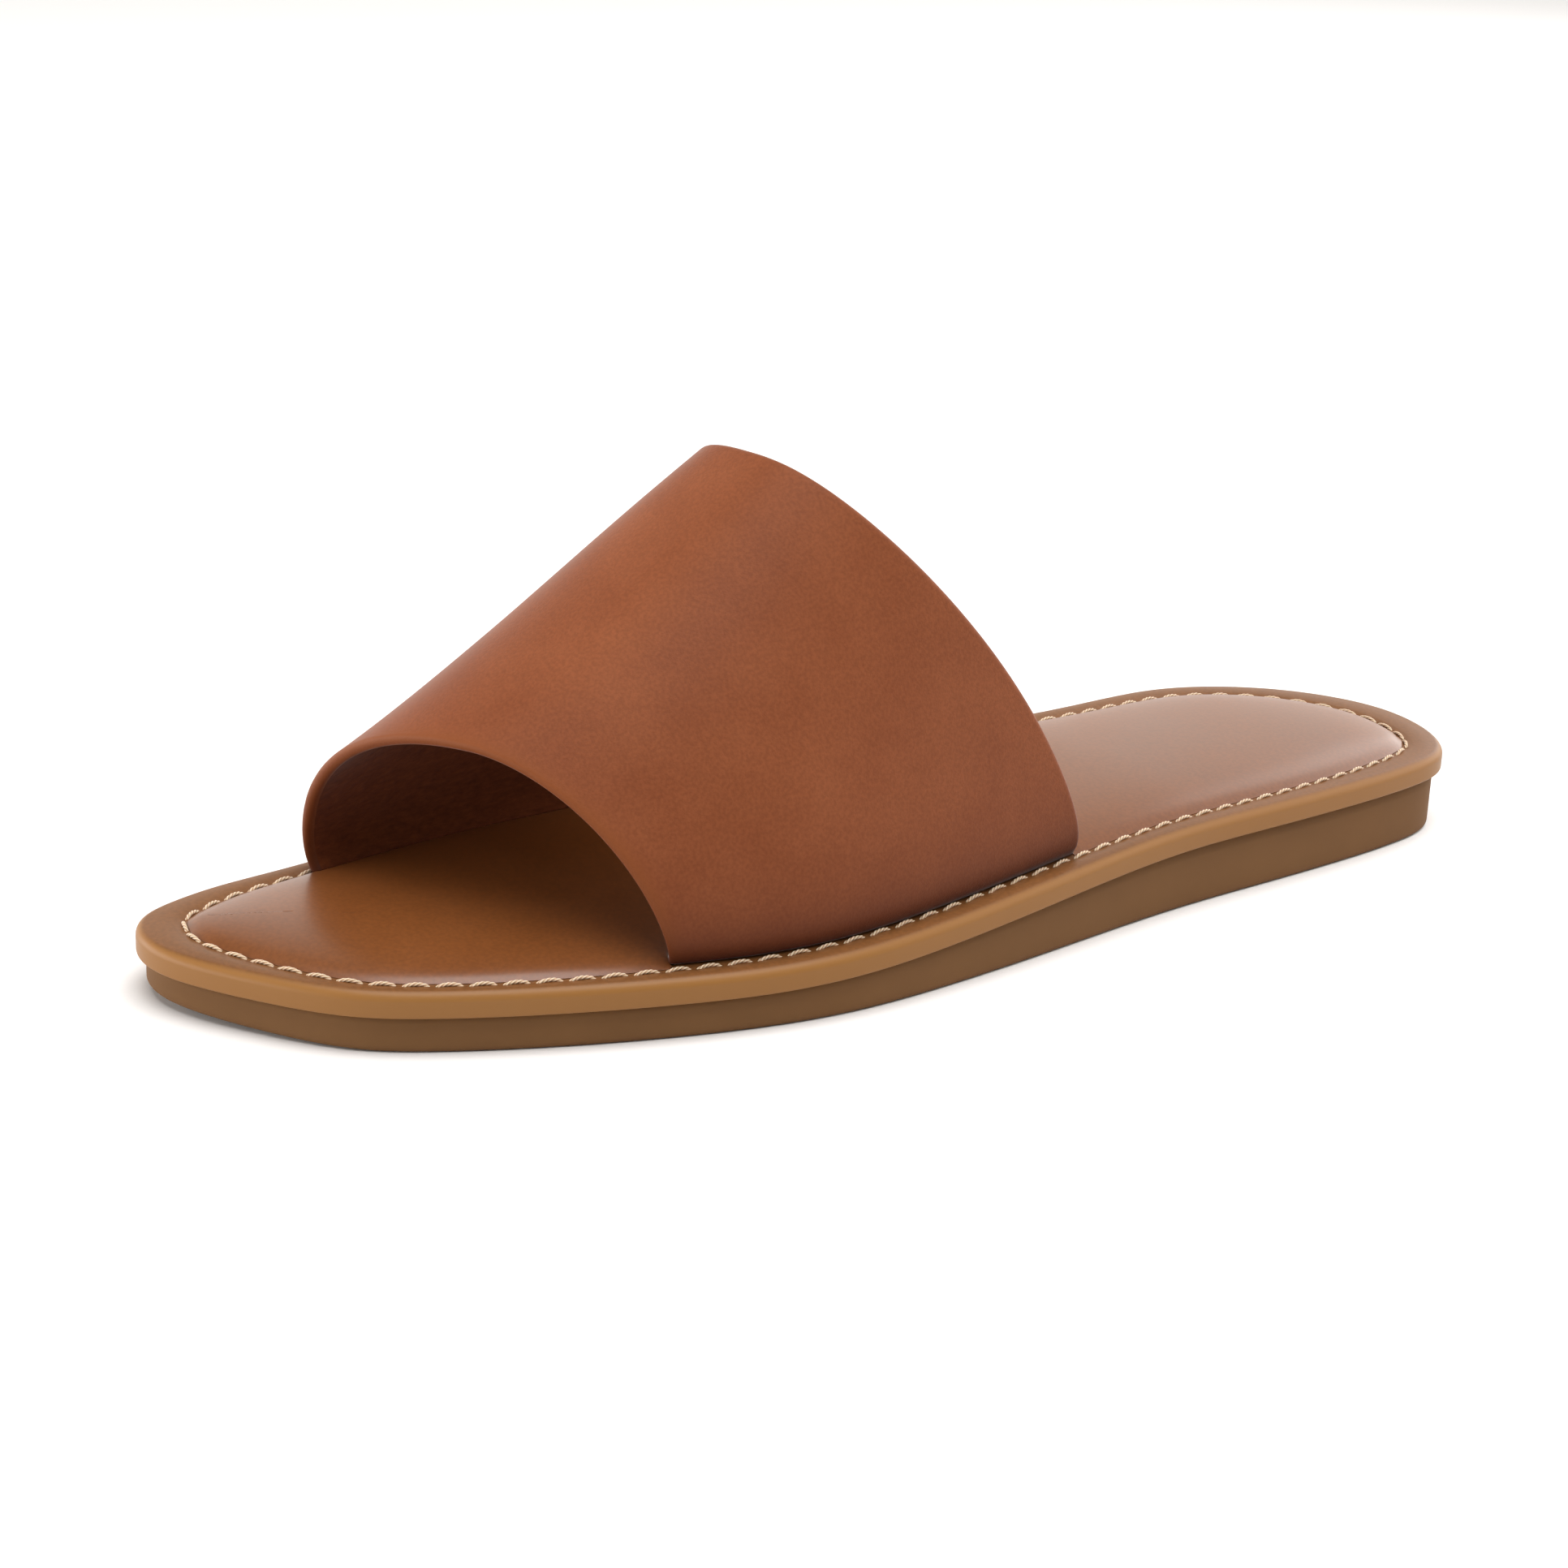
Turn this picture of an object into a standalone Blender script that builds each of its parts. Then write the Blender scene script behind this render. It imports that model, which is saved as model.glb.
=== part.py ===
# Slide sandal for the left foot, in metres, with +Z up and the floor at Z = 0.
# The toe points to -Y and the heel to +Y. +X is the outer side of the foot.
# The pieces, from the floor up, are the outsole, the footbed with its wrapped
# rim, the insole pad, and the upper: one wide band that is open at the toe and
# at the heel and stands on the footbed along both sides.

import math

import bmesh
import bpy
import numpy as np

# Sizes of the sole
LENGTH = 0.252
BALL_WIDTH = 0.0845
OUTSOLE_FOREFOOT = 0.0060
OUTSOLE_HEEL = 0.0111
OUTSOLE_INSET = 0.0015
OUTSOLE_EDGE_ROUND = 0.0012
FOOTBED_THICKNESS = 0.0046
FOOTBED_EDGE_ROUND = 0.0012
TOE_SPRING = 0.0016
TOE_LIFT = 0.0003
TOE_BREAK = 0.030

# The outsole thickens from the ball to the heel between these two distances
# from the toe tip.
WAIST_START = 0.075
WAIST_END = 0.181

# Sizes of the insole pad
PAD_EDGE_INSET = 0.0050
PAD_EDGE_THICKNESS = 0.0010
PAD_RISE = 0.0024
PAD_SOFTNESS = 0.0075

# The pad steps in to clear the upper: the step's length, and how far from the
# upper's edge it is complete.
PAD_STEP_RUN = 0.0050
PAD_STEP_LEAD = 0.0015

# Sizes of the upper
UPPER_INSET = 0.0050
UPPER_WALL = 0.0025
UPPER_EDGE_ROUND = 0.0006
TOE_OPENING_HEIGHT = 0.0310
TOE_LEAN = 0.0080
INSTEP_HEIGHT = 0.0685
INSTEP_LEAN = 0.0445
LEAN_CURVE = 1.2

# Space that touching pieces keep
CLEARANCE = 0.0003

# Where the upper's base runs, as distances from the toe tip.
OUTER_BASE_START = 0.0680
OUTER_BASE_END = 0.1495
INNER_BASE_START = 0.0340
INNER_BASE_END = 0.1395

# Rim outline, a row for each station from the toe tip to the heel end.
# along: share of LENGTH. outer, inner: shares of BALL_WIDTH along X.
OUTLINE = (
    ("along", "outer", "inner"),
    (0.000, -0.1775, -0.1775),
    (0.013, -0.0475, -0.2915),
    (0.040, 0.0765, -0.3445),
    (0.080, 0.2125, -0.3845),
    (0.120, 0.2865, -0.4065),
    (0.190, 0.3735, -0.4475),
    (0.280, 0.4545, -0.4885),
    (0.380, 0.4995, -0.4995),
    (0.460, 0.4855, -0.4805),
    (0.560, 0.4405, -0.4325),
    (0.680, 0.3805, -0.3875),
    (0.780, 0.3505, -0.3925),
    (0.860, 0.3260, -0.4030),
    (0.920, 0.2975, -0.3470),
    (0.965, 0.2470, -0.2420),
    (0.990, 0.1500, -0.1290),
    (1.000, 0.0045, 0.0045),
)

# Arch of the upper at its two open edges.
# crest: where the top lies, as a share of the way from outer to inner base.
# outer_curve, inner_curve: 2 is an ellipse, and more is squarer.
ARCH = (
    ("edge", "height", "lean", "crest", "outer_curve", "inner_curve"),
    ("toe", TOE_OPENING_HEIGHT, TOE_LEAN, 0.44, 1.94, 2.12),
    ("instep", INSTEP_HEIGHT, INSTEP_LEAN, 0.48, 2.58, 2.83),
)

# Edges that turn more than these angles are shaded sharp, or rounded over
SHARP_TURN = math.radians(40.0)
EDGE_TURN = math.radians(50.0)

# How finely the surfaces are divided
AROUND_SOLE = 120
ACROSS_SOLE = 6
ACROSS_PAD = 8
ALONG_UPPER = 15
ACROSS_UPPER = 50


def closed_spline(knots, values, at):
    """Cubic through values at knots on [0, 2 pi), smooth and closed."""
    step = np.diff(np.append(knots, knots[0] + 2.0 * np.pi))
    before = np.roll(step, 1)
    slope = (np.roll(values, -1) - values) / step
    count = len(knots)
    matrix = np.zeros((count, count))
    index = np.arange(count)
    matrix[index, index] = 2.0 * (before + step)
    matrix[index, (index - 1) % count] = step
    matrix[index, (index + 1) % count] = before
    right = 3.0 * (step * np.roll(slope, 1) + before * slope)
    tangent = np.linalg.solve(matrix, right)
    at = np.mod(at, 2.0 * np.pi)
    i = np.searchsorted(knots, at, side="right") - 1
    t = (at - knots[i]) / step[i]
    after = (i + 1) % count
    keep = 2.0 * t ** 3 - 3.0 * t ** 2 + 1.0
    start = (t ** 3 - 2.0 * t ** 2 + t) * step[i]
    end = (t ** 3 - t ** 2) * step[i]
    return (keep * values[i] + start * tangent[i]
            + (1.0 - keep) * values[after] + end * tangent[after])


def outline_point(turn):
    """Rim outline at turn: 0 at the toe tip, pi at the heel, outer side first."""
    along, outer, inner = np.array(OUTLINE[1:]).T
    angle = np.arccos(1.0 - 2.0 * along)
    knots = np.append(angle, 2.0 * np.pi - angle[-2:0:-1])
    shares = np.append(outer, inner[-2:0:-1])
    x = BALL_WIDTH * closed_spline(knots, shares, turn)
    y = -0.5 * LENGTH * np.cos(turn)
    return np.stack([x, y], axis=-1)


def inset_outline(turn, inset):
    """Outline moved inward by inset, square to its own direction."""
    nudge = 1e-4
    ahead = outline_point(turn + nudge) - outline_point(turn - nudge)
    ahead /= np.linalg.norm(ahead, axis=-1, keepdims=True)
    inward = np.stack([-ahead[..., 1], ahead[..., 0]], axis=-1)
    return outline_point(turn) + inward * np.asarray(inset)[..., None]


def turn_at(distance, outer=True):
    """Turn of the outline point at this distance from the toe tip."""
    angle = np.arccos(1.0 - 2.0 * np.asarray(distance) / LENGTH)
    return angle if outer else 2.0 * np.pi - angle


def smooth_step(value):
    """0 below 0, 1 above 1, and an even curve between."""
    t = np.clip(value, 0.0, 1.0)
    return t * t * (3.0 - 2.0 * t)


def toe_curl(y):
    """1 at the toe tip, falling to 0 at the toe break."""
    return np.clip(1.0 - (y + 0.5 * LENGTH) / TOE_BREAK, 0.0, 1.0) ** 2


def floor_side(y):
    """Height of the outsole's underside: flat, with a toe spring."""
    return TOE_SPRING * toe_curl(y)


def outsole_top(y):
    """Height of the outsole's upper face: low forefoot, waist, heel."""
    along = y + 0.5 * LENGTH
    rise = smooth_step((along - WAIST_START) / (WAIST_END - WAIST_START))
    level = OUTSOLE_FOREFOOT + (OUTSOLE_HEEL - OUTSOLE_FOREFOOT) * rise
    return level + TOE_LIFT * toe_curl(y)


def footbed_under(y):
    """Height of the footbed's underside."""
    return outsole_top(y) + CLEARANCE


def footbed_top(y):
    """Height of the footbed's upper face."""
    return footbed_under(y) + FOOTBED_THICKNESS


def round_corner(radius, steps):
    """Inset and drop from a corner along its rounding, side to flat."""
    for k in range(steps + 1):
        angle = 0.5 * math.pi * k / steps
        yield radius * (1.0 - math.cos(angle)), radius * (1.0 - math.sin(angle))


def sole_ring(inset, height, drop=0.0):
    """Closed ring around the sole at one inset, on a height function."""
    turn = 2.0 * np.pi * np.arange(AROUND_SOLE) / AROUND_SOLE
    plan = inset_outline(turn, np.broadcast_to(inset, turn.shape))
    z = height(plan[:, 1]) + drop
    return np.column_stack([plan, z])


def cap_rows(ring, height, columns):
    """Points across a ring, a row for each pair of facing points."""
    half = len(ring) // 2
    share = np.linspace(0.0, 1.0, columns + 1)[1:-1]
    outer = ring[1:half, None, :]
    inner = ring[:half:-1, None, :]
    rows = outer + (inner - outer) * share[None, :, None]
    rows[..., 2] = height(rows[..., 0], rows[..., 1])
    return rows


def add_cap(mesh, loop, rows, upward):
    """Faces over a ring of vertices, through the points of its rows."""

    def face(*corners):
        mesh.faces.new(corners if upward else corners[::-1])

    half = len(loop) // 2
    lines = [[loop[0]]]
    for k, row in enumerate(rows):
        middle = [mesh.verts.new(point) for point in row]
        lines.append([loop[k + 1]] + middle + [loop[-k - 1]])
    lines.append([loop[half]])
    for first, second in zip(lines[:-1], lines[1:]):
        if len(first) == 1:
            for a, b in zip(second[:-1], second[1:]):
                face(first[0], a, b)
        elif len(second) == 1:
            for a, b in zip(first[:-1], first[1:]):
                face(second[0], b, a)
        else:
            for k in range(len(first) - 1):
                face(first[k], second[k], second[k + 1], first[k + 1])


def sole_solid(name, rings, under, over, columns, material):
    """Closed solid from rings stacked upward, capped under and over."""
    mesh = bmesh.new()
    loops = [[mesh.verts.new(point) for point in ring] for ring in rings]
    for low, high in zip(loops[:-1], loops[1:]):
        for k in range(len(low)):
            after = (k + 1) % len(low)
            mesh.faces.new((low[k], low[after], high[after], high[k]))
    add_cap(mesh, loops[0], cap_rows(rings[0], under, columns), False)
    add_cap(mesh, loops[-1], cap_rows(rings[-1], over, columns), True)
    return finish(name, mesh, material)


def finish(name, mesh, material):
    """Object from a bmesh, shaded smooth between its sharp edges."""
    data = bpy.data.meshes.new(name)
    mesh.to_mesh(data)
    mesh.free()
    data.shade_smooth()
    data.set_sharp_from_angle(angle=SHARP_TURN)
    data.materials.append(material)
    made = bpy.data.objects.new(name, data)
    bpy.context.scene.collection.objects.link(made)
    return made


def make_material(name, colour, roughness):
    """Plain leather or rubber finish, colour given in linear light."""
    material = bpy.data.materials.new(name)
    material.use_nodes = True
    shader = material.node_tree.nodes["Principled BSDF"]
    shader.inputs["Base Color"].default_value = (*colour, 1.0)
    shader.inputs["Roughness"].default_value = roughness
    shader.inputs["Metallic"].default_value = 0.0
    return material


def build_outsole():
    """Rubber outsole: thin forefoot, thicker heel, rounded lower edge."""
    rings = []
    for inset, drop in reversed(list(round_corner(OUTSOLE_EDGE_ROUND, 2))):
        rings.append(sole_ring(OUTSOLE_INSET + inset, floor_side, drop))
    rings.append(sole_ring(OUTSOLE_INSET, outsole_top))
    material = make_material("brown_rubber", (0.115, 0.060, 0.030), 0.75)
    return sole_solid("outsole", rings, lambda x, y: floor_side(y),
                      lambda x, y: outsole_top(y), ACROSS_SOLE, material)


def build_footbed():
    """Board wrapped in tan leather, its rim rounded above and below."""
    corner = list(round_corner(FOOTBED_EDGE_ROUND, 2))
    rings = []
    for inset, drop in reversed(corner):
        rings.append(sole_ring(inset, footbed_under, drop))
    for inset, drop in corner:
        rings.append(sole_ring(inset, footbed_top, -drop))
    material = make_material("tan_leather", (0.420, 0.215, 0.085), 0.50)
    return sole_solid("footbed", rings, lambda x, y: footbed_under(y),
                      lambda x, y: footbed_top(y), ACROSS_SOLE, material)


def pad_inset(turn):
    """Inset of the pad's edge, wider where the upper stands beside it."""
    turn = np.mod(turn, 2.0 * np.pi)
    along = 0.5 * LENGTH * (1.0 - np.cos(turn))
    outer = turn < np.pi
    start = np.where(outer, OUTER_BASE_START, INNER_BASE_START)
    end = np.where(outer, OUTER_BASE_END, INNER_BASE_END)
    before = smooth_step((along - start + PAD_STEP_LEAD) / PAD_STEP_RUN + 1.0)
    past = smooth_step((end - along + PAD_STEP_LEAD) / PAD_STEP_RUN + 1.0)
    beside = before * past
    clear = UPPER_INSET + UPPER_WALL + 3.0 * CLEARANCE
    return PAD_EDGE_INSET + (clear - PAD_EDGE_INSET) * beside


def edge_distance(ring, x, y):
    """Distance from points to the nearest edge of a ring, seen from above."""
    start = ring[:, :2]
    side = np.roll(start, -1, axis=0) - start
    point = np.stack([x, y], axis=-1)[..., None, :]
    share = ((point - start) * side).sum(-1) / (side * side).sum(-1)
    near = start + np.clip(share, 0.0, 1.0)[..., None] * side
    return np.linalg.norm(point - near, axis=-1).min(axis=-1)


def build_insole():
    """Padded insole that swells inward from a thin edge."""
    turn = 2.0 * np.pi * np.arange(AROUND_SOLE) / AROUND_SOLE
    inset = pad_inset(turn)

    def under(y):
        return footbed_top(y) + CLEARANCE

    foot = sole_ring(inset, under)
    brim = sole_ring(inset, under, PAD_EDGE_THICKNESS)

    def over(x, y):
        swell = 1.0 - np.exp(-edge_distance(brim, x, y) / PAD_SOFTNESS)
        return under(y) + PAD_EDGE_THICKNESS + PAD_RISE * swell

    material = make_material("brown_insole_leather", (0.330, 0.145, 0.065), 0.45)
    return sole_solid("insole", [foot, brim], lambda x, y: under(y), over,
                      ACROSS_PAD, material)


def arch_row(share):
    """Arch sizes between the toe edge, share 0, and the instep edge, share 1."""
    toe, instep = (np.array(row[1:]) for row in ARCH[1:])
    return (toe[:, None] + (instep - toe)[:, None] * share.ravel()).reshape(
        (len(toe),) + share.shape)


def upper_surface(share, angle):
    """Outer face of the upper.

    share runs from the toe edge to the instep edge. angle runs over the foot
    from the outer base, 0, to the inner base, pi. The base follows the rim,
    the arch is a superellipse, and the instep edge leans to the toe.
    """
    height, lean, crest, outer_curve, inner_curve = arch_row(share)
    outer_along = OUTER_BASE_START + (OUTER_BASE_END - OUTER_BASE_START) * share
    inner_along = INNER_BASE_START + (INNER_BASE_END - INNER_BASE_START) * share
    inset = np.full(share.shape, UPPER_INSET)
    outer = inset_outline(turn_at(outer_along), inset)
    inner = inset_outline(turn_at(inner_along, outer=False), inset)
    on_outer = angle < 0.5 * np.pi
    curve = np.where(on_outer, outer_curve, inner_curve)
    cosine = np.abs(np.cos(angle)) ** (2.0 / curve)
    rise = np.abs(np.sin(angle)) ** (2.0 / curve)
    across = np.where(on_outer, crest * (1.0 - cosine), crest + (1.0 - crest) * cosine)
    plan = outer + (inner - outer) * across[..., None]
    base_outer = footbed_top(outer[..., 1])
    base_inner = footbed_top(inner[..., 1])
    base = base_outer + (base_inner - base_outer) * across + CLEARANCE
    y = plan[..., 1] - lean * np.abs(np.sin(angle)) ** LEAN_CURVE
    return np.stack([plan[..., 0], y, base + height * rise], axis=-1)


def build_upper():
    """One hollow leather band, its wall solidified inward."""
    share, angle = np.meshgrid(
        np.linspace(0.0, 1.0, ALONG_UPPER),
        np.linspace(0.0, np.pi, ACROSS_UPPER), indexing="ij")
    points = upper_surface(share, angle)
    mesh = bmesh.new()
    grid = [[mesh.verts.new(point) for point in row] for row in points]
    for i in range(ALONG_UPPER - 1):
        for j in range(ACROSS_UPPER - 1):
            mesh.faces.new((grid[i][j], grid[i + 1][j],
                            grid[i + 1][j + 1], grid[i][j + 1]))
    material = make_material("cognac_leather", (0.255, 0.085, 0.036), 0.50)
    upper = finish("upper", mesh, material)
    wall = upper.modifiers.new("wall", "SOLIDIFY")
    wall.thickness = UPPER_WALL
    wall.offset = -1.0
    wall.use_even_offset = True
    edge = upper.modifiers.new("turned_edge", "BEVEL")
    edge.width = UPPER_EDGE_ROUND
    edge.segments = 2
    edge.limit_method = "ANGLE"
    edge.angle_limit = EDGE_TURN
    return upper


def main():
    for old in list(bpy.data.objects):
        bpy.data.objects.remove(old, do_unlink=True)
    whole = bpy.data.objects.new("slide_sandal", None)
    bpy.context.scene.collection.objects.link(whole)
    for piece in (build_outsole(), build_footbed(), build_insole(), build_upper()):
        piece.parent = whole


main()
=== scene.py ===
# %% [markdown]
# # A leather slide sandal, from frame to finish
#
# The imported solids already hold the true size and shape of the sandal: an
# outsole, a footbed, an insole pad and one wide band over the foot. This lesson
# dresses them. It gives each piece a fine surface with the soft edges, rolls,
# grooves and stitches of the real one, and then the finish of its leather,
# rubber or thread.
#
# Everything is in metres. The toe points to -Y, the heel to +Y, and +X is the
# outer side of this left foot. The floor is at Z = 0.

# %% Load the frame
import math

import bmesh
import bpy
import numpy as np
from mathutils import Matrix, Vector


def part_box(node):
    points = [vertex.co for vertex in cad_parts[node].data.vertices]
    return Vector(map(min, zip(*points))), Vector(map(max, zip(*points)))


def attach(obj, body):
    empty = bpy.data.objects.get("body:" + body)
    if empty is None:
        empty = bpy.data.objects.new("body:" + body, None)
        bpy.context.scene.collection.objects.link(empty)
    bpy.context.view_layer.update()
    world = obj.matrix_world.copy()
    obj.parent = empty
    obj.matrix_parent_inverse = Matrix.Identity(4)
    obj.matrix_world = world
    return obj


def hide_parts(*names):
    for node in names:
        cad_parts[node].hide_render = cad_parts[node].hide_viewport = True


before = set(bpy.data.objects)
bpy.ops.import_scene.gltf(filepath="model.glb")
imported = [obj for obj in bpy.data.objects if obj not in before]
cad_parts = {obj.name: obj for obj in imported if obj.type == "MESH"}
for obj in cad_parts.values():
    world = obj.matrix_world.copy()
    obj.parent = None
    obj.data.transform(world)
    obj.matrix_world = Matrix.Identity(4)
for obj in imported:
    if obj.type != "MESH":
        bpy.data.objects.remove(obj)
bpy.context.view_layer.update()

print("solids:", sorted(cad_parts))

# %% [markdown]
# ## The camera first
#
# The photograph looks at the outer side of the sandal from the toe end, a
# little from above. A fairly long lens keeps the toe from swelling, and the
# camera is rolled by two degrees.

# %% Place the camera
CAMERA_AZIMUTH = math.radians(56.6)
CAMERA_ELEVATION = math.radians(19.66)
CAMERA_ROLL = math.radians(2.27)
CAMERA_DISTANCE = 0.530
CAMERA_AIM = Vector((-0.0122, -0.0089, 0.0187))
LENS_MM = 69.6
SENSOR_MM = 36.0


def make_camera():
    """Camera on a line from the aim point: azimuth from -Y towards +X, then up."""
    level = math.cos(CAMERA_ELEVATION)
    back = Vector((math.sin(CAMERA_AZIMUTH) * level,
                   -math.cos(CAMERA_AZIMUTH) * level,
                   math.sin(CAMERA_ELEVATION)))
    data = bpy.data.cameras.new("camera")
    data.lens = LENS_MM
    data.sensor_width = SENSOR_MM
    camera = bpy.data.objects.new("camera", data)
    bpy.context.scene.collection.objects.link(camera)
    turn = (-back).to_track_quat("-Z", "Y").to_matrix()
    roll = Matrix.Rotation(CAMERA_ROLL, 3, "Z")
    camera.matrix_world = (turn @ roll).to_4x4()
    camera.location = CAMERA_AIM + back * CAMERA_DISTANCE
    bpy.context.scene.camera = camera
    return camera


camera = make_camera()
print("camera at", [round(value, 4) for value in camera.location])

# %% [markdown]
# ## The outline of the rim
#
# Everything on a shoe's sole follows one outline. Here it is a closed cubic
# curve through a short table of half widths, from the toe tip to the heel. A
# point on it is found by its turn: 0 at the toe tip, a half turn at the heel
# end, outer side first. Moving a point inward, square to the outline, gives the
# line of the stitches, the foot of the band and the edge of the pad.

# %% Sizes that the solids share
low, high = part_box("footbed")
LENGTH = high.y - low.y
BALL_WIDTH = 0.0845
OUTSOLE_FOREFOOT = 0.0060
OUTSOLE_HEEL = 0.0111
OUTSOLE_INSET = 0.0015
FOOTBED_THICKNESS = 0.0046
TOE_SPRING = 0.0016
TOE_LIFT = 0.0003
TOE_BREAK = 0.030
WAIST_START = 0.075
WAIST_END = 0.181
CLEARANCE = 0.0003

# Rim outline. along: share of LENGTH from the toe tip. outer, inner: shares of
# BALL_WIDTH along X.
OUTLINE = (
    ("along", "outer", "inner"),
    (0.000, -0.1775, -0.1775),
    (0.013, -0.0475, -0.2915),
    (0.040, 0.0765, -0.3445),
    (0.080, 0.2125, -0.3845),
    (0.120, 0.2865, -0.4065),
    (0.190, 0.3735, -0.4475),
    (0.280, 0.4545, -0.4885),
    (0.380, 0.4995, -0.4995),
    (0.460, 0.4855, -0.4805),
    (0.560, 0.4405, -0.4325),
    (0.680, 0.3805, -0.3875),
    (0.780, 0.3505, -0.3925),
    (0.860, 0.3260, -0.4030),
    (0.920, 0.2975, -0.3470),
    (0.965, 0.2470, -0.2420),
    (0.990, 0.1500, -0.1290),
    (1.000, 0.0045, 0.0045),
)
print("rim", round(1000 * LENGTH, 1), "mm long")


# %% Outline and heights
FINE_STEPS = 6000


def closed_spline(knots, values, at):
    """Cubic through values at knots on [0, 2 pi), smooth and closed.

    The slopes at the knots solve one linear system that makes the bend equal on
    both sides of each knot. Between two knots it is a Hermite cubic.
    """
    step = np.diff(np.append(knots, knots[0] + 2.0 * np.pi))
    before = np.roll(step, 1)
    slope = (np.roll(values, -1) - values) / step
    count = len(knots)
    index = np.arange(count)
    matrix = np.zeros((count, count))
    matrix[index, index] = 2.0 * (before + step)
    matrix[index, (index - 1) % count] = step
    matrix[index, (index + 1) % count] = before
    right = 3.0 * (step * np.roll(slope, 1) + before * slope)
    tangent = np.linalg.solve(matrix, right)
    at = np.mod(at, 2.0 * np.pi)
    i = np.searchsorted(knots, at, side="right") - 1
    t = (at - knots[i]) / step[i]
    after = (i + 1) % count
    keep = 2.0 * t ** 3 - 3.0 * t ** 2 + 1.0
    start = (t ** 3 - 2.0 * t ** 2 + t) * step[i]
    end = (t ** 3 - t ** 2) * step[i]
    return (keep * values[i] + start * tangent[i]
            + (1.0 - keep) * values[after] + end * tangent[after])


def outline_point(turn):
    """Rim point: Y is a cosine of the turn, and X is the closed curve."""
    along, outer, inner = np.array(OUTLINE[1:]).T
    angle = np.arccos(1.0 - 2.0 * along)
    knots = np.append(angle, 2.0 * np.pi - angle[-2:0:-1])
    shares = np.append(outer, inner[-2:0:-1])
    x = BALL_WIDTH * closed_spline(knots, shares, turn)
    y = -0.5 * LENGTH * np.cos(turn)
    return np.stack([x, y], axis=-1)


def inset_outline(turn, inset):
    """Outline point moved inward by inset, square to the outline."""
    nudge = 1e-4
    ahead = outline_point(turn + nudge) - outline_point(turn - nudge)
    ahead /= np.linalg.norm(ahead, axis=-1, keepdims=True)
    inward = np.stack([-ahead[..., 1], ahead[..., 0]], axis=-1)
    return outline_point(turn) + inward * np.asarray(inset)[..., None]


def turn_at(distance, outer=True):
    """Turn of the outline point at this distance from the toe tip."""
    angle = np.arccos(1.0 - 2.0 * np.asarray(distance) / LENGTH)
    return angle if outer else 2.0 * np.pi - angle


def smooth_step(value):
    """0 below 0, 1 above 1, and an even curve between."""
    t = np.clip(value, 0.0, 1.0)
    return t * t * (3.0 - 2.0 * t)


def toe_curl(y):
    """1 at the toe tip, falling to 0 at the toe break."""
    return np.clip(1.0 - (y + 0.5 * LENGTH) / TOE_BREAK, 0.0, 1.0) ** 2


def floor_side(y):
    """Underside of the outsole: flat, with a small toe spring."""
    return TOE_SPRING * toe_curl(y)


def outsole_top(y):
    """Upper face of the outsole: low forefoot, a smooth rise, then the heel."""
    rise = smooth_step((y + 0.5 * LENGTH - WAIST_START) / (WAIST_END - WAIST_START))
    level = OUTSOLE_FOREFOOT + (OUTSOLE_HEEL - OUTSOLE_FOREFOOT) * rise
    return level + TOE_LIFT * toe_curl(y)


def footbed_under(y):
    """Underside of the footbed, a hair above the outsole."""
    return outsole_top(y) + CLEARANCE


def footbed_top(y):
    """Upper face of the footbed."""
    return footbed_under(y) + FOOTBED_THICKNESS


def even_turns(inset, count):
    """Turns of points spaced evenly along the line at inset(turn).

    The line is measured as many short steps, and the wanted distances are read
    back from the running sum. Also gives the line's whole length.
    """
    dense = np.linspace(0.0, 2.0 * np.pi, FINE_STEPS + 1)
    path = inset_outline(dense, inset(dense))
    steps = np.linalg.norm(np.diff(path, axis=0), axis=1)
    run = np.append(0.0, np.cumsum(steps))
    return np.interp(np.arange(count) * run[-1] / count, run, dense), run[-1]


# %% [markdown]
# ## From a grid of points to a mesh
#
# Each new surface below is a function of two parameters, worked out for a whole
# grid at once. One helper makes a face between each four neighbours. Points that
# fall together, as along a centre line, are merged afterwards. That can leave two
# slivers back to back at an end of the line, and the pad stays unjoined along the
# line, because its two sides have their columns at different places.

# %% Helpers for meshes
MERGE = 2e-6


def grid_faces(rows, columns, close_columns=True, flip=False):
    """Four corner numbers for each cell of a grid, as one array."""
    index = np.arange(rows * columns).reshape(rows, columns)
    if close_columns:
        index = np.hstack([index, index[:, :1]])
    faces = np.stack([index[:-1, :-1], index[:-1, 1:],
                      index[1:, 1:], index[1:, :-1]], axis=-1)
    faces = faces[..., ::-1] if flip else faces
    return faces.reshape(-1, 4)


def mesh_object(name, points, faces, values=None, slots=None, close=True):
    """Object from points and faces, smooth, merged where points fall together.

    values holds named numbers for each point, which materials read, and slots
    holds a material number for each face.
    """
    mesh = bpy.data.meshes.new(name)
    mesh.from_pydata(points.reshape(-1, 3).tolist(), [], list(map(list, faces)))
    for key, numbers in (values or {}).items():
        layer = mesh.attributes.new(key, "FLOAT", "POINT")
        layer.data.foreach_set("value", np.ravel(numbers).astype(np.float32))
    if slots is not None:
        mesh.polygons.foreach_set("material_index", np.ravel(slots).astype(np.int32))
    if close:
        work = bmesh.new()
        work.from_mesh(mesh)
        bmesh.ops.remove_doubles(work, verts=work.verts, dist=MERGE)
        bmesh.ops.dissolve_degenerate(work, edges=work.edges, dist=MERGE)
        work.to_mesh(mesh)
        work.free()
    mesh.shade_smooth()
    mesh.update()
    made = bpy.data.objects.new(name, mesh)
    bpy.context.scene.collection.objects.link(made)
    open_edges = count_open_edges(mesh)
    print(name, len(mesh.polygons), "faces,", open_edges, "open edges,",
          round(1e6 * signed_volume(mesh), 2), "cm3")
    return made


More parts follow.
